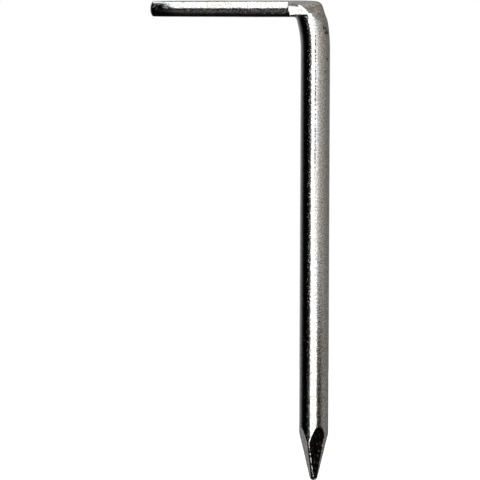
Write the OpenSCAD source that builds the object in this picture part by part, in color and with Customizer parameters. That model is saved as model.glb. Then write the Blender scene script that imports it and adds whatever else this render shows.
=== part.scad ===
// Heavy tent stake: one length of round steel bar. The lower end is pinched to a four-sided
// point. The upper end is pressed flat and bent over, so that it makes the arm that holds a
// guy line and takes the hammer.
//
// Frame: the origin is on the shank's axis, where the straight shank ends and the bend starts.
// +Z runs up the shank, and the arm points along -X. Sizes are in millimetres.

/* [Shank] */
// Diameter of the round bar
bar_d = 12; // [10:0.5:14]
// Length of the straight round shank, from the bend down to the point
shank_len = 153; // [80:1:260]

/* [Point] */
// Length of the pinched point
point_len = 22; // [19:0.5:23]
// Slope of each of the four facets against the shank's axis
facet_angle = 12.5; // [11:0.5:13.5]
// Slope of the worn edges between the facets
edge_angle = 14.7; // [14:0.1:16]
// How far above the tip the worn edges have the bar's own diameter
edge_rise = 16.7; // [15.5:0.1:17.5]
// Height of the blunt bevel at the very tip
tip_bevel = 0.9; // [0.4:0.1:1.4]

/* [Bend] */
// Height from the straight shank up to the arm's top
bend_h = 20.3; // [19:0.1:22]
// How far the shank's inner side leans towards the arm before the corner
lean = 1.75; // [1.2:0.05:2]
// Slope of the shank's outer side just below the corner
outer_angle = 18.3; // [16:0.1:20]
// Radius inside the corner
inner_r = 1.6; // [1:0.1:2.2]
// Sharpness of the outer corner, higher is sharper
corner_power = 14; // [10:1:20]
// How much narrower the stretched outer side of the corner is
corner_taper = 0.16; // [0:0.01:0.25]

/* [Arm] */
// Reach of the arm, from the shank's axis to its end
arm_reach = 70.2; // [50:0.1:100]
// Thickness of the pressed arm
arm_t = 6.6; // [5.5:0.1:7.5]
// Width of the pressed arm
arm_w = 17; // [14:0.5:20]
// How far the arm's sides and its end bulge out
side_bulge = 1.5; // [1:0.1:2]
// Length of the nose, the arm's last stretch, where its sides close in
nose_len = 13; // [8:0.1:16]
// How far each side closes in along the nose
nose_inset = 0.95; // [0:0.05:1.5]
// Radius of the two corners at the arm's end
end_corner = 1.6; // [1.2:0.1:3]

/* [Hidden] */
bar_r = bar_d / 2;
arm_r = arm_w / 2;
arm_h = arm_t / 2;
tip_z = -shank_len - point_len;
under_z = bend_h - arm_t;                   // the arm's underside
rim = 0.4;                                  // straight rim above and below the rounded side
side_h = arm_h - rim;                       // height of the arm's rounded side, above its middle
quarter = 8;                                // points in each quarter of a section
bar_sides = 96;                             // flat sides that stand for the round bar
eps = 0.01;

// The corner's sections fan out from a pivot, which is the centre of the inner radius.
fan_start = 14;                             // slope of the first section of the fan
fan_z = under_z - inner_r;
lean_top = fan_z + inner_r * sin(fan_start);
fan_x = -(bar_r + lean) - inner_r * cos(fan_start);
outer_lean = 0.00826;                       // outer side: bar_r - outer_lean * z^2 near the shank
outer_x = bar_r - outer_lean * fan_z * fan_z;

function mix(a, b, t) = a + (b - a) * t;
function ease(t) = t * t * (3 - 2 * t);

// One section, as [inner point, outer point, half width, in-plane corner, lateral corner, taper].
// The points are [x, z]. A corner equal to the half size makes that side fully round.
function section(inner, outer, half_w, flat, taper) =
    let (half_h = norm(outer - inner) / 2)
    [inner, outer, half_w, mix(half_h, side_h, flat), mix(half_w, side_bulge, flat), taper];

// The leaning top of the shank. It starts a little below the bend, just inside the round bar.
start_r = bar_r - 0.02;
start_z = -0.5;
lean_bulge = 0.15;                          // how much wider the bar is at the top of the lean
lean_rings = 10;
function lean_inner(z) = [-start_r - lean * pow(z / lean_top, 2), z];
function lean_outer(z) =
    let (top = fan_outer(fan_start), t = z / lean_top)
    [start_r - (start_r - top[0]) * t * t, mix(z, top[1] * t, t)];
lean_sections = [for (i = [0:lean_rings - 1])
    let (t = i / lean_rings, z = mix(start_z, lean_top, t))
    section(lean_inner(z), lean_outer(z), start_r + lean_bulge * t, 0, 0)];

// The corner: a smooth minimum of the distances to the outer side and to the top.
function fan_ray(a) = [cos(a), sin(a)];
function fan_distance(a) =
    let (side = (outer_x - fan_x) / (cos(a) + tan(outer_angle) * sin(a)),
         top = (bend_h - fan_z) / max(sin(a), eps))
    pow(pow(side, -corner_power) + pow(top, -corner_power), -1 / corner_power);
function fan_outer(a) = [fan_x, fan_z] + fan_distance(a) * fan_ray(a);
fan_rings = 16;
fan_sections = [for (i = [0:fan_rings])
    let (t = i / fan_rings,
         a = mix(fan_start, 90, t),
         half_w = mix(start_r + lean_bulge, arm_r, ease(t)))
    section([fan_x, fan_z] + inner_r * fan_ray(a), fan_outer(a), half_w, ease(t),
            corner_taper * sin(180 * t))];

// The arm and its nose. The sections get lower over the last bulge, and narrower at the corners.
nose_x = -(arm_reach - nose_len);
end_len = side_bulge + end_corner;
end_rings = 12;
last_step = 88;                             // degrees, so that the last section has some height
function nose_inset_at(u) = nose_inset * pow(u / nose_len, 2);
function round_off(r, u) = let (into = max(0, u - nose_len + r)) r - sqrt(r * r - into * into);
nose_steps = concat([for (i = [0:2]) (nose_len - end_len) * i / 3],
    [for (i = [0:end_rings]) nose_len - end_len * (1 - sin(last_step * i / end_rings))]);
nose_sections = [for (u = nose_steps)
    let (half_h = arm_h * (1 - round_off(side_bulge, u) / side_bulge),
         half_w = arm_r - nose_inset_at(u) - round_off(end_corner, u),
         x = nose_x - u,
         mid = bend_h - arm_h)
    [[x, mid - half_h], [x, mid + half_h], half_w, side_h * half_h / arm_h, side_bulge, 0]];

// A section's ring of points: four rounded corners with straight stretches between them.
function ring(s) =
    let (along = (s[1] - s[0]) / norm(s[1] - s[0]),
         mid = (s[0] + s[1]) / 2,
         half_h = norm(s[1] - s[0]) / 2)
    [for (q = [0:3]) for (i = [0:quarter - 1])
        let (a = 90 * q + 90 * (i + 0.5) / quarter,
             side = (q == 0 || q == 3) ? 1 : -1,
             up = q < 2 ? 1 : -1,
             v = up * (half_h - s[3]) + s[3] * sin(a),
             w = (side * (s[2] - s[4]) + s[4] * cos(a)) * (1 - s[5] * v / half_h))
        [mid[0] + along[0] * v, w, mid[1] + along[1] * v]];

module loft(sections) {
    n = 4 * quarter;
    last = len(sections) - 1;
    sides = [for (k = [0:last - 1]) for (i = [0:n - 1])
        let (j = (i + 1) % n)
        [k * n + i, k * n + j, (k + 1) * n + j, (k + 1) * n + i]];
    start_cap = [[for (i = [n - 1:-1:0]) i]];
    end_cap = [[for (i = [0:n - 1]) last * n + i]];
    polyhedron(points = [for (s = sections) each ring(s)],
               faces = concat(sides, start_cap, end_cap), convexity = 4);
}

// A wedge with two facets, deep enough to cut right through the bar.
module facet_pair() {
    top = bar_r + eps;
    tip = bar_r - point_len * tan(facet_angle);
    rotate([90, 0, 0])
        linear_extrude(height = 4 * bar_r, center = true)
            polygon([[-tip, tip_z], [tip, tip_z], [bar_r, -shank_len], [top, eps],
                     [-top, eps], [-bar_r, -shank_len]]);
}

// A cone round the point, as long as the whole straight bar. Its radius at the tip is r0.
module cone_at_tip(r0, angle) {
    h = -tip_z;
    translate([0, 0, tip_z])
        cylinder(h = h, r1 = r0, r2 = r0 + h * tan(angle), $fn = bar_sides);
}

module shank_and_point() {
    edge_r0 = bar_r - edge_rise * tan(edge_angle);
    intersection() {
        translate([0, 0, tip_z])
            cylinder(h = shank_len + point_len, r = bar_r, $fn = bar_sides);
        rotate([0, 0, 45]) facet_pair();
        rotate([0, 0, -45]) facet_pair();
        cone_at_tip(edge_r0, edge_angle);
        cone_at_tip(edge_r0 - tip_bevel, 45);
    }
}

module stake() {
    color("silver") {
        shank_and_point();
        loft(concat(lean_sections, fan_sections, nose_sections));
    }
}

stake();
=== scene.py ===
"""A bright plated steel tent stake: one bent bar with a pinched point and a flattened arm.

The bar is one mesh, made of rings of points that run from the tip of the point, up the shank,
round the bend and along the arm to its nose. Sizes are in millimetres until the mesh is made.
The CAD node's box gives the driving sizes.
"""

import math

import bpy
import numpy as np
from mathutils import Matrix, Vector, noise


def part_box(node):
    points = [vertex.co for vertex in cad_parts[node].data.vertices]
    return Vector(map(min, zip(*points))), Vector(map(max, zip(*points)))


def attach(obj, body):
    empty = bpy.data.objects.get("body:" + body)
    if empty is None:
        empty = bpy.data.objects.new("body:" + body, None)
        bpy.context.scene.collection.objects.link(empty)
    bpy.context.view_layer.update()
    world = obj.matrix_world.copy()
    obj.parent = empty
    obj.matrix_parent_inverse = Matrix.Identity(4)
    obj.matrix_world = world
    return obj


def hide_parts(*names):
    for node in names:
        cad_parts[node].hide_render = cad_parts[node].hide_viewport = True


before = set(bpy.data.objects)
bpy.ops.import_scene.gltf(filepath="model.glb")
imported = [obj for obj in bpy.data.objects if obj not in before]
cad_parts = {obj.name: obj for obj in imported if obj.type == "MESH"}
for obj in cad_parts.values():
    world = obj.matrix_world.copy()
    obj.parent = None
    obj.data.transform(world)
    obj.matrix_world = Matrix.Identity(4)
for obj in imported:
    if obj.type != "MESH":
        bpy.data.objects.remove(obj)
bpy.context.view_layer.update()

MM = 0.001                           # a millimetre, in metres
TAU = 2 * math.pi
TINY = 1e-6                          # keeps a divisor away from zero
UP = Vector((0, 0, 1))

# Driving sizes, from the frame.
low, high = (np.array(corner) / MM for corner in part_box("stake"))
BAR_R = high[0]                      # radius of the round bar
TIP_Z = low[2]                       # the very tip
TOP_Z = high[2]                      # the arm's top face
NOSE_X = low[0]                      # the arm's far end
ARM_R = min(high[1], -low[1])        # half the arm's width

# The point: four facets, which meet in rounded edges.
POINT_LEN = 22.0
POINT_STEP = 0.3                     # distance between its rings
FACET_SLOPE = math.tan(math.radians(12.5))
FACET_KEEN = 200                     # how sharply a facet meets the round bar
TIP_ROUND = 1.3                      # height of the rounded tip
SIDE_EDGE = (0.4, 3.8)               # radius of the side edges at the tip, and at the top
FRONT_EDGE = (1.3, 0.5)              # the same for the front and back edges
EDGE_MOST = 0.98                     # most of a section's half width that an edge may take

# The die's marks on the facets.
DENT_DEPTH = 0.16
DENT_WAVES = ((0.9, 1.0), (2.3, 0.6))  # (waves per millimetre, weight)
DENT_R = 2.0                         # nearer to the axis than this they are shallower
DENT_FADE = 3                        # they fade out over the top third of the point

# The arm.
ARM_T = 6.7
ARM_THINNING = 0.04                  # share by which the arm is thinner at its end
SIDE_BULGE = 1.5                     # how far the sides and the end bulge out
DRAFT = 0.05                         # how much the sides lean in towards the top face
NOSE_LEN = 13.0                      # the last stretch, where the sides close in a little
NOSE_INSET = 1.05                    # how far each side closes in
NOSE_CORNER = 1.6                    # radius of the end's corners, seen from above
NOSE_CORNER_LOSS = 0.7               # how fast that shrinks towards the top and bottom faces
NOSE_CORNER_LEAST = 0.5
UNDER_Z = TOP_Z - ARM_T

# The bend. Its sections fan out round a pivot, the centre of the radius inside the corner.
INNER_R = 2.0
LEAN = 1.75                          # how far the shank's inner side leans below the corner
LEAN_BULGE = 0.15                    # how much wider the bar is at the top of that lean
OUTER_LEAN = 0.0070                  # the outer side leans in by this times the pivot's z squared
OUTER_LATE = 0.2                     # share of that which comes late, just below the corner
OUTER_SLOPE = math.tan(math.radians(18.3))  # how steeply it leans in from there
CORNER_POWER = 8                     # sharpness of the outer corner, higher is sharper
FAN_START = math.radians(14)         # slope of the fan's first section, at its inner side
OUTER_START = math.radians(3.5)      # and at its outer side
PIVOT = np.array([-(BAR_R + LEAN) - INNER_R * math.cos(FAN_START), UNDER_Z - INNER_R])
LEAN_TOP = PIVOT[1] + INNER_R * math.sin(FAN_START)

# The pressed block over the shank: flat sides that close in, and stand out over the round bar.
BLOCK_X = -8.4                       # where the block's sides start to close in
BLOCK_SLOPE = 0.298                  # how fast they do
BLOCK_TOP = 6.2                      # half width of the block's flat top, at the arm
LEDGE_X = -1.2                       # where the ledge turns from level to upright
RIM_X = -0.6                         # where the rim over it does
RIM_H = 1.0                          # height of the rounded rim along the ledge
RIM_LEAST = 0.2                      # and its least height
RIM_SHARE = 0.7                      # share of the ledge's width that the rim may round off
LEDGE_LEAST = 0.15                   # least width of the ledge
ROOT_LEAST = 1.5                     # least half width of the round bar under it
SIDE_LEAST = 0.5                     # least height of the flat side
# Borders of the flat side, as (slant, sum): a line where z + slant * x is the sum.
CREASE_LINE = (0.085, 17.27)         # the crease along its top
END_LINE = (1.06, 13.32)             # its outer end
GROOVE_DEPTH = 0.62                  # of the groove that runs along the crease
GROOVE_WALL = 0.12                   # height of its lower wall
GROOVE = ((0, 1), (0.27, 0.75), (0.54, 0.4), (0.82, 0))  # (distance from the crease, depth share)
BORDER_X = -8.7                      # where the block meets the arm's own side, at BORDER_Z
BORDER_Z = 18.1
BORDER_SLANT = 0.2                   # how much that border leans
BORDER_SOFT = 0.35                   # how wide it is

# What changes on the way round the corner, as (start, length) in shares of that way.
BLOCK_GROWS = (0, 0.2)               # the round section turns into the block's
TOP_GROWS = (0.1, 0.9)               # the block's flat top widens
GROOVE_GROWS = (0.45, 0.3)
ARM_GROWS = (0.5, 0.3)               # the arm's own side starts at the border
ARM_ALONE = (0.97, 0.03)             # the last sections are the arm's

RING = 128                           # points in a ring, an even number
HALF = RING // 2
STEP = 0.45                          # usual distance between rings
LEAST_GAP = 0.08                     # least distance between points that the spacing counts
EVEN_AFTER = 15                      # the spacing gets even over this much of the arm
LEAN_RINGS = 30
CORNER_RINGS = 90
SHARP = math.radians(32)             # edges sharper than this stay crisp
EVEN = np.linspace(0, 1, HALF + 1)   # even spacing for a half ring
FINE = np.linspace(0, 1, 400)        # and for the outline that it is cut from


# ---------------------------------------------------------------- sections

def mix(a, b, t):
    return a + (b - a) * t


def ease(t):
    t = np.clip(t, 0, 1)
    return t * t * (3 - 2 * t)


def fade(t, start, length):
    """A soft step from 0 at start to 1 a length further on."""
    return ease((t - start) / length)


def lengths(outline, least=0.0):
    """Distance along an outline to each of its points, as a share of the whole."""
    steps = np.maximum(np.linalg.norm(np.diff(outline, axis=0), axis=1), least)
    along = np.r_[0, np.cumsum(steps)]
    return along / along[-1]


def spaced(outline, shares):
    """Points on an outline at the given shares of its length."""
    along = lengths(outline)
    return np.stack([np.interp(shares, along, outline[:, i]) for i in range(2)], axis=1)


def arc(start, stop, count=24):
    return np.radians(np.linspace(start, stop, count))


# Every outline below is half a section, as (v, w), from the middle of its outer side to the
# middle of its inner side. v runs towards the outside of the bend and w is the half width.

def bulged_outline(half_h, half_w, bulge):
    """A section whose side is an elliptic arc over its whole height."""
    a = np.r_[arc(90, 0), arc(0, -90)]
    v = np.r_[half_h, half_h * np.sin(a), -half_h]
    w = np.r_[0, half_w - bulge + bulge * np.cos(a), 0]
    return np.stack([v, w], axis=1)


def oval_outline(half_h, half_w):
    return bulged_outline(half_h, half_w, half_w)


def point_outline(apothem, share):
    """A square with rounded corners, kept inside the round bar. Its corners lie on v and w."""
    pieces = []
    for k, radii in enumerate([SIDE_EDGE, FRONT_EDGE, SIDE_EDGE]):
        edge_r = min(mix(*radii, share), EDGE_MOST * apothem)
        core = math.sqrt(2) * (apothem - edge_r)
        a = arc(90 * k - 45, 90 * k + 45)
        pieces.append(np.stack([core * math.cos(math.pi / 2 * k) + edge_r * np.cos(a),
                                core * math.sin(math.pi / 2 * k) + edge_r * np.sin(a)], axis=1))
    outline = spaced(np.vstack(pieces), FINE)
    outline = outline[outline[:, 1] >= 0]
    outline = np.vstack([[outline[0, 0], 0], outline, [outline[-1, 0], 0]])
    far = np.linalg.norm(outline, axis=1, keepdims=True)
    kept = (far ** -FACET_KEEN + BAR_R ** -FACET_KEEN) ** (-1 / FACET_KEEN)
    return outline * kept / far


def arm_outline(half_h):
    outline = bulged_outline(half_h, ARM_R, SIDE_BULGE)
    outline[1:-1, 1] -= DRAFT * outline[1:-1, 0]
    return outline


def nose_outline(u, half_h):
    """The arm's section at a distance u past the start of its nose."""
    top = math.acos(min(1, max(0, 1 - (NOSE_LEN - u) / SIDE_BULGE)))
    a = np.linspace(top, -top, 97)
    inset = SIDE_BULGE * (1 - np.cos(a))
    corner = np.maximum(NOSE_CORNER - NOSE_CORNER_LOSS * inset, NOSE_CORNER_LEAST)
    into = np.clip(u - (NOSE_LEN - inset - corner), 0, corner)
    w = ARM_R - NOSE_INSET * (u / NOSE_LEN) ** 2 - inset
    w -= corner - np.sqrt(corner ** 2 - into ** 2)
    v = half_h * np.sin(a)
    w -= DRAFT * v
    return np.stack([np.r_[v[0], v, v[-1]], np.r_[0, w, 0]], axis=1)


def placed(half_ring, inner, outer):
    """A full ring in space, between two points [x, z] inside and outside of the bend."""
    ring = np.vstack([half_ring, half_ring[-2:0:-1] * [1, -1]])
    inner, outer = np.asarray(inner), np.asarray(outer)
    across = (outer - inner) / np.linalg.norm(outer - inner)
    xz = (inner + outer) / 2 + ring[:, :1] * across
    return np.stack([xz[:, 0], ring[:, 1], xz[:, 1]], axis=1)


def upright(half_ring, z):
    return placed(half_ring, [-1, z], [1, z])


# ---------------------------------------------------------------- the block over the corner

def outer_corner(a):
    """The outer side of the corner at a slope a from the pivot."""
    side_x = BAR_R - OUTER_LEAN * PIVOT[1] ** 2
    side = (side_x - PIVOT[0]) / (math.cos(a) + OUTER_SLOPE * math.sin(a))
    top = (TOP_Z - PIVOT[1]) / max(math.sin(a), TINY)
    distance = (side ** -CORNER_POWER + top ** -CORNER_POWER) ** (-1 / CORNER_POWER)
    return PIVOT + distance * np.array([math.cos(a), math.sin(a)])


def block_points(inner, length, dx, dz, t):
    """The block's section: round below, a ledge, a flat side, a groove, and a sloping roof.

    The points are (s, w), where s is the distance from the inner side. They run outwards.
    """
    def at_z(z):
        return (z - inner[1]) / dz

    def at_x(x):
        return (x - inner[0]) / dx

    def at_line(slant, total):
        return (total - inner[1] - slant * inner[0]) / (dz + slant * dx)

    def block_w(s):
        return ARM_R - BLOCK_SLOPE * np.maximum(inner[0] + dx * s - BLOCK_X, 0)

    ledge = min(at_z(UNDER_Z), at_x(LEDGE_X))
    rim = max(min(at_z(UNDER_Z + RIM_H), at_x(RIM_X)), ledge + RIM_LEAST)
    crease = max(min(at_line(*CREASE_LINE), at_line(*END_LINE)), rim + SIDE_LEAST)

    # The round bar, up to the ledge. It turns by more than nothing and less than half a turn.
    turn = max(math.acos(1 - min(2 * ledge / length, 1.98)), 0.001)
    root_w = max((BAR_R + LEAN_BULGE) * math.sin(turn), ROOT_LEAST)
    a = np.linspace(0, turn, 15)
    below = np.stack([length / 2 * (1 - np.cos(a)), root_w * np.sin(a) / math.sin(turn)], axis=1)

    # The ledge and its rim.
    rim_w = block_w(rim)
    rim_r = min(RIM_H, RIM_SHARE * max(rim_w - root_w, LEDGE_LEAST))
    face = np.stack([np.full(6, ledge), np.linspace(root_w, rim_w - rim_r, 6)], axis=1)
    a = arc(0, 90, 8)
    edge = np.stack([rim - (rim - ledge) * np.cos(a), rim_w - rim_r + rim_r * np.sin(a)], axis=1)

    # The flat side and the groove along its crease.
    s = np.linspace(rim, crease - GROOVE_WALL, 10)
    side = np.stack([s, block_w(s)], axis=1)
    past, share = np.array(GROOVE).T
    s = crease + past
    groove_w = block_w(s) - GROOVE_DEPTH * fade(t, *GROOVE_GROWS) * share
    groove = np.stack([s, groove_w], axis=1)

    # The roof, from the groove to the middle of the outer side.
    top_w = BLOCK_TOP * fade(t, *TOP_GROWS)
    start = groove[-1]
    q = np.sin(arc(2, 90, 60))
    roof_w = top_w + (start[1] - top_w) * (1 - 0.5 * q) * np.sqrt(1 - q * q)
    roof = np.stack([mix(start[0], length, q), roof_w], axis=1)
    roof = np.vstack([roof, [length, 0]])
    used = len(below) + len(face) + len(edge) + len(side) + len(groove) - 3
    roof = spaced(roof, np.linspace(0, 1, HALF + 1 - used))

    return np.vstack([below, face[1:], edge[1:], side[1:], groove, roof])


def block_half_ring(inner, outer, t):
    """The block's section, and its points' spacing. It starts round and ends as the arm's."""
    length = np.linalg.norm(outer - inner)
    dx, dz = (outer - inner) / length
    dx = max(dx, TINY)
    points = block_points(inner, length, dx, dz, t)[::-1]
    points[:, 0] -= length / 2

    shares = lengths(points, LEAST_GAP)
    plain = spaced(oval_outline(length / 2, BAR_R + LEAN_BULGE), shares)
    points = mix(plain, points, fade(t, *BLOCK_GROWS))
    arm = spaced(arm_outline(length / 2), shares)
    x = inner[0] + dx * (points[:, :1] + length / 2)
    z = inner[1] + dz * (points[:, :1] + length / 2)
    past = (BORDER_X + BORDER_SLANT * (BORDER_Z - z) - x) / BORDER_SOFT
    share = ease(past + 0.5) * fade(t, *ARM_GROWS)
    return mix(points, arm, np.maximum(share, fade(t, *ARM_ALONE))), shares


# ---------------------------------------------------------------- the bar's rings

def point_rings():
    """From the blunt tip up to the round shank."""
    tip_apothem = BAR_R - POINT_LEN * FACET_SLOPE
    blunt = TIP_ROUND * (1 - np.cos(np.linspace(0.25, math.pi / 2, 9)))
    heights = np.r_[blunt, np.arange(blunt[-1] + POINT_STEP, POINT_LEN, POINT_STEP)]
    rings = []
    for h in heights:
        cap = math.sqrt(max(0, 1 - max(0, 1 - h / TIP_ROUND) ** 2))
        apothem = (tip_apothem + h * FACET_SLOPE) * cap
        outline = point_outline(apothem, h / POINT_LEN)
        ring = upright(spaced(outline, EVEN), TIP_Z + h)
        rings.append(hammered(ring, min(1, DENT_FADE * (1 - h / POINT_LEN)) * cap))
    return rings


def hammered(ring, share):
    """A ring of the point, pressed in here and there by the die."""
    for point in ring:
        dent = sum(weight * noise.noise(Vector(point) * rate) for rate, weight in DENT_WAVES)
        depth = share * DENT_DEPTH * (0.5 + 0.5 * dent)
        point[:2] *= 1 - depth / max(DENT_R, math.hypot(point[0], point[1]))
    return ring


def shank_rings():
    start = TIP_Z + POINT_LEN
    circle = spaced(oval_outline(BAR_R, BAR_R), EVEN)
    return [upright(circle, z) for z in np.linspace(start, 0, round(-start / STEP), endpoint=False)]


def bend_rings():
    """The shank's lean, then the corner. Also gives the spacing of the last ring's points."""
    corner = [(PIVOT + INNER_R * np.array([math.cos(a), math.sin(a)]), outer_corner(b), t)
              for t, a, b in zip(np.linspace(0, 1, CORNER_RINGS),
                                 np.linspace(FAN_START, math.pi / 2, CORNER_RINGS),
                                 np.linspace(OUTER_START, math.pi / 2, CORNER_RINGS))]
    first_inner, first_outer, _ = corner[0]
    _, first_shares = block_half_ring(first_inner, first_outer, 0)
    rings = []
    for t in np.linspace(0, 1, LEAN_RINGS, endpoint=False):
        z = LEAN_TOP * t
        inner = np.array([-BAR_R - LEAN * t * t, z])
        bent = (1 - OUTER_LATE) * t ** 2 + OUTER_LATE * t ** 6
        outer = np.array([mix(BAR_R, first_outer[0], bent), mix(z, first_outer[1] * t, t)])
        outline = oval_outline(np.linalg.norm(outer - inner) / 2, BAR_R + LEAN_BULGE * t)
        shares = mix(EVEN, first_shares, ease(t))
        rings.append(placed(spaced(outline, shares), inner, outer))
    for inner, outer, t in corner:
        half_ring, shares = block_half_ring(inner, outer, t)
        rings.append(placed(half_ring, inner, outer))
    return rings, shares


def arm_rings(shares):
    """Along the arm to the end of its nose. The points' spacing gets even along the way."""
    middle = TOP_Z - ARM_T / 2
    nose_start = NOSE_X + NOSE_LEN
    count = round((PIVOT[0] - nose_start) / STEP)
    straight = np.linspace(PIVOT[0], nose_start, count + 1)[1:-1]
    end = NOSE_X + SIDE_BULGE * (1 - np.cos(np.linspace(math.pi / 2, 0.08, 16)))
    corner_x = end[0] + NOSE_CORNER
    nose = np.r_[np.linspace(nose_start, corner_x, round((nose_start - corner_x) / STEP), False),
                 np.linspace(corner_x, end[0], 9, False), end]
    rings = []
    for x in np.r_[straight, nose]:
        thinning = ARM_THINNING * ((PIVOT[0] - x) / (PIVOT[0] - NOSE_X)) ** 3
        half_h = ARM_T / 2 * (1 - thinning)
        outline = arm_outline(half_h) if x > nose_start else nose_outline(nose_start - x, half_h)
        spacing = mix(shares, EVEN, fade(PIVOT[0] - x, 0, EVEN_AFTER))
        rings.append(placed(spaced(outline, spacing), [x, middle - 1], [x, middle + 1]))
    return rings


def bar_mesh():
    """All the rings as one closed mesh, in metres."""
    bend, shares = bend_rings()
    rings = point_rings() + shank_rings() + bend + arm_rings(shares)
    count = len(rings)
    ends = np.array([rings[0].mean(0), rings[-1].mean(0)])
    ends[0, 2] = TIP_Z
    ends[1, 0] = NOSE_X
    points = np.vstack(rings + [ends])
    faces = []
    for k in range(count - 1):
        for i in range(RING):
            j = (i + 1) % RING
            faces.append((k * RING + i, k * RING + j, (k + 1) * RING + j, (k + 1) * RING + i))
    tip, nose = count * RING, count * RING + 1
    last = (count - 1) * RING
    for i in range(RING):
        j = (i + 1) % RING
        faces.append((tip, j, i))
        faces.append((nose, last + i, last + j))
    mesh = bpy.data.meshes.new("stake_bar")
    mesh.from_pydata((points * MM).tolist(), [], faces)
    mesh.update()
    mesh.shade_smooth()
    mesh.set_sharp_from_angle(angle=SHARP)
    return mesh


# ---------------------------------------------------------------- nodes

class Nodes:
    """Short calls for building a node tree."""

    def __init__(self, tree):
        self.tree = tree

    def add(self, kind, **settings):
        node = self.tree.nodes.new(kind)
        for name, value in settings.items():
            setattr(node, name, value)
        return node

    def link(self, source, target):
        """Wires a socket to another, or sets a plain value on it."""
        if isinstance(source, bpy.types.NodeSocket):
            self.tree.links.new(source, target)
        else:
            target.default_value = source

    def math(self, operation, a, b=0.0):
        node = self.add("ShaderNodeMath", operation=operation)
        self.link(a, node.inputs[0])
        self.link(b, node.inputs[1])
        return node.outputs[0]

    def map_range(self, kind, *values):
        """values are the value, its low and high, and what those become."""
        node = self.add("ShaderNodeMapRange", interpolation_type=kind)
        for socket, v in zip(node.inputs[:5], values):
            self.link(v, socket)
        return node.outputs[0]

    def smooth(self, value, low, high, to_low=0.0, to_high=1.0):
        """A soft step from to_low at low to to_high at high."""
        return self.map_range("SMOOTHSTEP", value, low, high, to_low, to_high)

    def mix(self, factor, a, b):
        """Between two numbers."""
        node = self.add("ShaderNodeMix", data_type="FLOAT")
        for name, v in (("Factor", factor), ("A", a), ("B", b)):
            self.link(v, node.inputs[name])
        return node.outputs["Result"]

    def along(self, vector, axis):
        """How far a vector reaches along an axis."""
        node = self.add("ShaderNodeVectorMath", operation="DOT_PRODUCT")
        self.link(vector, node.inputs[0])
        self.link(axis, node.inputs[1])
        return node.outputs["Value"]

    def distance(self, where, point):
        node = self.add("ShaderNodeVectorMath", operation="DISTANCE")
        self.link(where, node.inputs[0])
        self.link(point, node.inputs[1])
        return node.outputs["Value"]

    def scaled(self, colour, factor):
        node = self.add("ShaderNodeVectorMath", operation="SCALE")
        self.link(colour, node.inputs[0])
        self.link(factor, node.inputs["Scale"])
        return node.outputs[0]

    def noise(self, where, scale, detail):
        """Soft noise with a number of waves per metre, and this many finer layers on it."""
        node = self.add("ShaderNodeTexNoise")
        for name, v in (("Vector", where), ("Scale", scale), ("Detail", detail)):
            self.link(v, node.inputs[name])
        return node.outputs["Fac"]

    def ramp(self, value, stops, low=0.0, high=1.0):
        """A colour ramp whose stops are (position between low and high, grey or colour)."""
        node = self.add("ShaderNodeValToRGB")
        self.link(self.map_range("LINEAR", value, low, high, 0.0, 1.0), node.inputs[0])
        elements = node.color_ramp.elements
        while len(elements) < len(stops):
            elements.new(0.5)
        for element, (at, v) in zip(elements, stops):
            element.position = (at - low) / (high - low)
            element.color = (*v, 1) if isinstance(v, tuple) else (v, v, v, 1)
        return node.outputs[0]

    def bump(self, height, distance, below=None):
        """The normal over a height that counts in units of a distance, on top of another bump."""
        node = self.add("ShaderNodeBump")
        node.inputs["Strength"].default_value = 1.0
        node.inputs["Distance"].default_value = distance
        self.link(height, node.inputs["Height"])
        if below is not None:
            self.link(below, node.inputs["Normal"])
        return node.outputs[0]


# ---------------------------------------------------------------- material

# The noises, in waves per metre. A range says between which of a noise's values it has effect.
COMMON_RANGE = (0.3, 0.7)
GRAIN = 1900
GRAIN_SHADE = (0.72, 1.28)           # brightness of the darkest and of the lightest grain
STAIN = 110
STAIN_RANGE = (0.40, 0.64)
CLEAN = (0.70, 0.70, 0.705)
STAINED = (0.675, 0.64, 0.60)
UNEVEN = 160
ROUGHNESS = (0.045, 0.085)           # of the smoothest and of the roughest plating

# The bumps, with their noises. Distances are in metres.
COARSE_BUMP = 450
COARSE_DISTANCE = 0.00004
FINE_BUMP = 2300
FINE_DISTANCE = 0.000018
PEAKS = 2600
PEAKS_RANGE = (0.64, 0.82)

# The drawing seam down the shank.
SEAM_AZIMUTH = math.radians(22)
SEAM_Z = (-54, 9)                    # between these heights
SEAM_FADE = (10, 4)                  # how long it takes to start and to stop
SEAM_HALF = (0.15, 0.35)             # half its width, where it starts to fade and where it ends
SEAM_PITS = 1500
SEAM_PITS_RANGE = (0.43, 0.52)
SEAM_SHADE = 0.12                    # how bright its pits are

# Corrosion pits, as (azimuth from the seam, height, radius of the patch), in degrees and mm.
PITS = ((45, 9.2, 1.6), (53, 7.4, 1.7), (52, -3.6, 0.9), (44, -8.8, 0.7), (58, 0.5, 0.8),
        (48, -37.0, 0.5), (30, -62.0, 0.5), (60, -90.0, 0.6), (-50, -117.8, 0.5),
        (-52, 16.0, 2.8))
PIT_CORE = 0.4                       # share of the radius with the full effect
PIT_DARK = 0.85                      # how dark a pit is
BROKEN = 1300                        # the noise that breaks the patches up
BROKEN_RANGE = (0.38, 0.52)

# Nicks across the bar, as (azimuth from the seam, height, half their length).
NICKS = ((-50, -117.8, 1.8), (60, -87.6, 1.5), (62, -57.0, 1.2))
NICK_CORE = 0.6                      # share of the length with the full depth
NICK_HALF = 0.3                      # half a nick's width
NICK_DEPTH = 6.0                     # in units of FINE_DISTANCE


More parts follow.
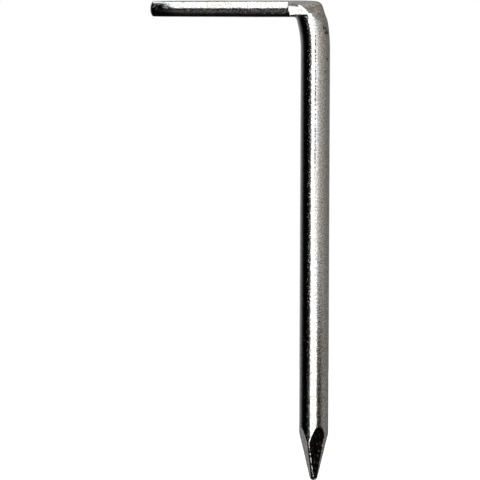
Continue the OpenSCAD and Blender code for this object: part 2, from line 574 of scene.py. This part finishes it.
def seam(n, where):
    """The drawing seam: a broken line of fine pits down the shank. 1 off the seam, less in it."""
    out = (math.sin(SEAM_AZIMUTH), -math.cos(SEAM_AZIMUTH), 0)
    beside = (math.cos(SEAM_AZIMUTH), math.sin(SEAM_AZIMUTH), 0)
    across = n.math("ABSOLUTE", n.along(where, beside))
    z = n.along(where, UP)
    bottom, top = SEAM_Z
    pits = n.smooth(n.noise(where, SEAM_PITS, detail=0), *SEAM_PITS_RANGE)
    for share in (n.smooth(across, SEAM_HALF[1] * MM, SEAM_HALF[0] * MM),
                  n.smooth(n.along(where, out), 0, MM),
                  n.smooth(z, bottom * MM, (bottom + SEAM_FADE[0]) * MM),
                  n.smooth(z, top * MM, (top - SEAM_FADE[1]) * MM)):
        pits = n.math("MULTIPLY", pits, share)
    return n.mix(pits, 1.0, SEAM_SHADE)


def on_bar(azimuth, z):
    """A point of the bar's surface in metres, at an azimuth from the seam."""
    a = SEAM_AZIMUTH + math.radians(azimuth)
    lean = LEAN / 2 * max(0, z / LEAN_TOP) ** 2
    return Vector((BAR_R * math.sin(a) - lean, -BAR_R * math.cos(a), z)) * MM


def nicks(n, where):
    """How deep the nicks are. 0 beside them."""
    depth = 0.0
    for azimuth, z, half in NICKS:
        above = n.math("ABSOLUTE", n.math("SUBTRACT", n.along(where, UP), z * MM))
        near = n.smooth(n.distance(where, on_bar(azimuth, z)), half * MM, NICK_CORE * half * MM)
        groove = n.math("MULTIPLY", near, n.smooth(above, NICK_HALF * MM, 0))
        depth = n.math("ADD", depth, n.math("MULTIPLY", groove, NICK_DEPTH))
    return depth


def pits(n, where):
    """Small dark pits here and there. 1 on sound plating, less in a pit."""
    broken = n.noise(where, BROKEN, detail=0)
    sound = 1.0
    for azimuth, z, radius in PITS:
        away = n.distance(where, on_bar(azimuth, z))
        near = n.smooth(away, radius * MM, PIT_CORE * radius * MM)
        dark = n.math("MULTIPLY", near, n.smooth(broken, *BROKEN_RANGE, 0.0, PIT_DARK))
        sound = n.math("MULTIPLY", sound, n.math("SUBTRACT", 1.0, dark))
    return sound


def plated_steel():
    """Bright plating over steel: near-mirror, with a fine grain, pits and slight warm stains."""
    material = bpy.data.materials.new("plated_steel")
    material.use_nodes = True
    n = Nodes(material.node_tree)
    shader = material.node_tree.nodes["Principled BSDF"]
    where = n.add("ShaderNodeTexCoord").outputs["Object"]

    tint = n.ramp(n.noise(where, STAIN, detail=3), list(zip(STAIN_RANGE, (CLEAN, STAINED))))
    shade = n.smooth(n.noise(where, GRAIN, detail=0), *COMMON_RANGE, *GRAIN_SHADE)
    shade = n.math("MULTIPLY", n.math("MULTIPLY", shade, seam(n, where)), pits(n, where))
    n.link(n.scaled(tint, shade), shader.inputs["Base Color"])
    shader.inputs["Metallic"].default_value = 1.0

    roughness = n.smooth(n.noise(where, UNEVEN, detail=2), *COMMON_RANGE, *ROUGHNESS)
    n.link(roughness, shader.inputs["Roughness"])

    peaks = n.smooth(n.noise(where, PEAKS, detail=0), *PEAKS_RANGE)
    height = n.math("ADD", n.noise(where, FINE_BUMP, detail=0), peaks)
    height = n.math("SUBTRACT", height, nicks(n, where))
    coarse = n.bump(n.noise(where, COARSE_BUMP, detail=1), COARSE_DISTANCE)
    n.link(n.bump(height, FINE_DISTANCE, coarse), shader.inputs["Normal"])
    return material


# ---------------------------------------------------------------- the studio

CAMERA_AZIMUTH = math.radians(22)
CAMERA_LIFT = 0.3                    # degrees above level
CAMERA_ROLL = math.radians(0.25)
LENS = 1000.0
SENSOR = 36.0
FRAME_FILL = 479.3 / 480             # how much of the picture's height the stake takes

FRONT = Vector((math.sin(CAMERA_AZIMUTH), -math.cos(CAMERA_AZIMUTH), 0))
RIGHT = Vector((math.cos(CAMERA_AZIMUTH), math.sin(CAMERA_AZIMUTH), 0))
PURE = (1.0, 1.0, 1.0)
WARM = (1.0, 0.955, 0.88)
COOL = (0.965, 0.99, 1.03)

# The studio round the stake. Azimuths and elevations are in degrees. Azimuth 0 is the front
# and the right is positive. The first tables hold (azimuth, radiance) and (azimuth, tint).
WALLS = ((-180, 0.70), (-155, 0.60), (-147, 0.38), (-135, 0.26), (-127, 0.20), (-119, 0.13),
         (-111, 0.065), (-103, 0.02), (-95, 0.004), (-87, 0.0005), (-63, 0.0005), (-55, 0.003),
         (-47, 0.015), (-41, 0.035), (-36, 0.08), (-31, 0.35), (10, 0.60), (12, 0.30),
         (100, 0.22), (140, 0.20), (180, 0.30))
FLOOR = ((-180, 0.025), (-90, 0.016), (-56, 0.001), (-51, 0.01), (-47, 0.075), (-44, 0.10),
         (0, 0.03), (25, 0.005), (80, 0.005), (180, 0.025))
TINTS = ((-180, COOL), (-100, COOL), (-85, PURE), (25, PURE), (40, WARM), (120, WARM),
         (170, COOL))
CEILING = 0.40                       # its radiance
CEILING_EDGE = (28, 50)              # the walls turn into the ceiling between these elevations
# The floor's radiance is FLOOR times this, as (elevation, factor).
FLOOR_FACTOR = ((-90, 0.5), (-54, 0.5), (-41, 0.45), (-32, 0.38), (-24, 0.40), (-17, 0.75),
                (-4, 1.0))
PATCH = 0.30                         # a paler patch of the floor, below the stake on the right
PATCH_ELEVATION = (-38, -60)         # it grows between these elevations
PATCH_AZIMUTH = (30, 80)             # and between these azimuths

# Borders, as (azimuth, elevation): between floor and walls, and below and above the panels.
FLOOR_EDGE = ((-180, -18), (-75, -18), (-55, -3), (50, -3), (62, -18), (78, -26), (180, -26))
PANEL_LOWER = ((-150, 50), (-75, 50), (-68, 47), (-60, 41), (-56, 34), (-53, 26), (-50, 19),
               (-47, 11), (-44, 8.5), (-33, 7), (-29, 2), (-26, -34), (10, -34))
PANEL_UPPER = ((-150, 56), (-110, 58), (-60, 60), (-40, 48), (-31, 34), (10, 26))
FLOOR_SOFT = (2, -6)                 # the floor starts between these degrees over its border
LOWER_SOFT = (-3, 3)                 # the panels start between these over their lower border
UPPER_SOFT = (4, -4)                 # and stop between these over their upper border
PANEL_LEFT = (-154, -146)            # they start between these azimuths
PANEL_RIGHT = (10, 8)                # and stop between these
PANEL_LIGHT = 1.8                    # their radiance

# The side card: a curved panel at the front right, which is lighter above than below.
CARD_R = 0.6
CARD_Z = (-0.31, 0.32)
CARD_AZIMUTH = (-4, 100)
CARD_STEPS = 52
CARD_STRENGTH = 2.0
CARD_CHANGE = (-0.148, -0.078)       # heights between which the lower part turns into the upper
CARD_RANGE = (-10, 110)              # azimuths that the two tables below may hold
CARD_UPPER = ((-4, 1.0), (0, 0.65), (9, 0.62), (17, 0.52), (25, 0.375), (33, 0.295), (41, 0.25),
              (49, 0.225), (57, 0.203), (65, 0.18), (73, 0.16), (81, 0.142), (89, 0.126),
              (100, 0.117))
CARD_LOWER = ((-4, 1.0), (17, 1.0), (21, 0.27), (26, 0.05), (34, 0.018), (41, 0.014),
              (49, 0.022), (57, 0.05), (65, 0.085), (73, 0.115), (89, 0.115), (100, 0.115))
CARD_TINTS = ((8, PURE), (22, PURE), (40, WARM), (100, WARM))
CARD_TINT_RANGE = (0, 110)

# The real floor, and the light on it.
FLOOR_R = 3.0
FLOOR_SIDES = 96
FLOOR_GREY = 0.9
FLOOR_SUN = 3.2
FLOOR_SUN_WIDTH = math.radians(60)


def direction(azimuth, elevation):
    """A direction in degrees, by the studio's azimuth and elevation."""
    a, e = math.radians(azimuth), math.radians(elevation)
    return (FRONT * math.cos(a) + RIGHT * math.sin(a)) * math.cos(e) + UP * math.sin(e)


def azimuth_of(n, vector):
    """The studio's azimuth of a vector, in degrees."""
    turn = n.math("ARCTAN2", n.along(vector, RIGHT), n.along(vector, FRONT))
    return n.math("MULTIPLY", turn, math.degrees(1))


def add_camera(bar):
    """A level long-lens camera, aimed so that the stake's outline is in the picture's middle."""
    back = direction(0, CAMERA_LIFT)
    turn = back.to_track_quat("Z", "Y").to_matrix() @ Matrix.Rotation(CAMERA_ROLL, 3, "Z")
    axes = np.array(turn)
    points = np.array([v.co for v in bar.data.vertices]) @ axes
    lowest, highest = points.min(0), points.max(0)
    height = (highest[1] - lowest[1]) / FRAME_FILL
    data = bpy.data.cameras.new("camera")
    data.lens = LENS
    data.sensor_width = SENSOR
    data.clip_start = 0.1
    data.clip_end = 100
    camera = bpy.data.objects.new("camera", data)
    camera.location = Vector(axes @ ((lowest + highest) / 2)) + back * height * LENS / SENSOR
    camera.rotation_euler = turn.to_euler()
    bpy.context.scene.collection.objects.link(camera)
    bpy.context.scene.camera = camera


def add_world():
    """Walls, floor, ceiling and white panels, which only the metal mirrors."""
    world = bpy.data.worlds.new("studio")
    bpy.context.scene.world = world
    world.use_nodes = True
    n = Nodes(world.node_tree)
    ray = n.add("ShaderNodeTexCoord").outputs["Generated"]
    azimuth = azimuth_of(n, ray)
    elevation = n.math("MULTIPLY", n.math("ARCSINE", n.along(ray, UP)), math.degrees(1))

    def by_azimuth(stops):
        return n.ramp(azimuth, stops, -180, 180)

    def above(border):
        """How many degrees above a border."""
        grey = by_azimuth([(a, (e + 90) / 180) for a, e in border])
        edge = n.math("SUBTRACT", n.math("MULTIPLY", grey, 180.0), 90.0)
        return n.math("SUBTRACT", elevation, edge)

    floor = n.math("MULTIPLY", by_azimuth(FLOOR), n.ramp(elevation, FLOOR_FACTOR, -90, 0))
    patch = n.math("MULTIPLY", n.smooth(elevation, *PATCH_ELEVATION),
                   n.smooth(azimuth, *PATCH_AZIMUTH))
    floor = n.mix(patch, floor, PATCH)

    between = n.math("MULTIPLY", n.smooth(above(PANEL_LOWER), *LOWER_SOFT),
                     n.smooth(above(PANEL_UPPER), *UPPER_SOFT))
    beside = n.math("MULTIPLY", n.smooth(azimuth, *PANEL_LEFT), n.smooth(azimuth, *PANEL_RIGHT))
    panels = n.math("MULTIPLY", between, beside)

    light = n.mix(n.smooth(elevation, *CEILING_EDGE), by_azimuth(WALLS), CEILING)
    light = n.mix(n.smooth(above(FLOOR_EDGE), *FLOOR_SOFT), light, floor)
    light = n.mix(panels, light, PANEL_LIGHT)

    # The background is plain white: radiance 1, and the tint of azimuth 0.
    seen = n.add("ShaderNodeLightPath").outputs["Is Camera Ray"]
    light = n.mix(seen, light, 1.0)
    unseen = n.math("SUBTRACT", 1.0, seen)
    tint = n.ramp(n.math("MULTIPLY", azimuth, unseen), TINTS, -180, 180)
    n.link(n.scaled(tint, light), world.node_tree.nodes["Background"].inputs["Color"])


def add_side_card():
    """The side card. Only the metal sees it."""
    points, faces = [], []
    for i in range(CARD_STEPS + 1):
        d = direction(mix(*CARD_AZIMUTH, i / CARD_STEPS), 0) * CARD_R
        points += [(d.x, d.y, z) for z in CARD_Z]
    for i in range(CARD_STEPS):
        faces.append((2 * i, 2 * i + 1, 2 * i + 3, 2 * i + 2))
    mesh = bpy.data.meshes.new("side_card")
    mesh.from_pydata(points, [], faces)
    card = bpy.data.objects.new("side_card", mesh)
    material = bpy.data.materials.new("side_card")
    material.use_nodes = True
    n = Nodes(material.node_tree)
    where = n.add("ShaderNodeNewGeometry").outputs["Position"]
    azimuth = azimuth_of(n, where)
    light = n.mix(n.smooth(n.along(where, UP), *CARD_CHANGE),
                  n.ramp(azimuth, CARD_LOWER, *CARD_RANGE), n.ramp(azimuth, CARD_UPPER, *CARD_RANGE))
    tint = n.ramp(azimuth, CARD_TINTS, *CARD_TINT_RANGE)
    emission = n.add("ShaderNodeEmission")
    emission.inputs["Strength"].default_value = CARD_STRENGTH
    n.link(n.scaled(tint, light), emission.inputs["Color"])
    n.link(emission.outputs[0], material.node_tree.nodes["Material Output"].inputs["Surface"])
    mesh.materials.append(material)
    card.visible_camera = False
    card.visible_diffuse = False
    card.visible_shadow = False
    bpy.context.scene.collection.objects.link(card)


def add_floor():
    """A plain pale floor under the tip. The metal doesn't mirror it."""
    mesh = bpy.data.meshes.new("floor")
    turns = [TAU * i / FLOOR_SIDES for i in range(FLOOR_SIDES)]
    rim = [(FLOOR_R * math.cos(a), FLOOR_R * math.sin(a), 0) for a in turns]
    mesh.from_pydata(rim, [], [tuple(range(FLOOR_SIDES))])
    floor = bpy.data.objects.new("floor", mesh)
    floor.location.z = TIP_Z * MM
    material = bpy.data.materials.new("pale_floor")
    material.use_nodes = True
    shader = material.node_tree.nodes["Principled BSDF"]
    shader.inputs["Base Color"].default_value = (FLOOR_GREY, FLOOR_GREY, FLOOR_GREY, 1)
    shader.inputs["Roughness"].default_value = 1.0
    shader.inputs["Specular IOR Level"].default_value = 0.0
    mesh.materials.append(material)
    floor.visible_glossy = False
    bpy.context.scene.collection.objects.link(floor)


def add_floor_light():
    """A broad overhead light, which the metal doesn't mirror."""
    data = bpy.data.lights.new("floor_light", "SUN")
    data.energy = FLOOR_SUN
    data.angle = FLOOR_SUN_WIDTH
    light = bpy.data.objects.new("floor_light", data)
    light.visible_glossy = False
    bpy.context.scene.collection.objects.link(light)


# ---------------------------------------------------------------- the scene

bar = bpy.data.objects.new("stake_bar", bar_mesh())
bpy.context.scene.collection.objects.link(bar)
bar.data.materials.append(plated_steel())
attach(bar, "root")
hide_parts("stake")

add_camera(bar)
add_world()
add_side_card()
add_floor()
add_floor_light()
bpy.context.scene.view_settings.view_transform = "Standard"
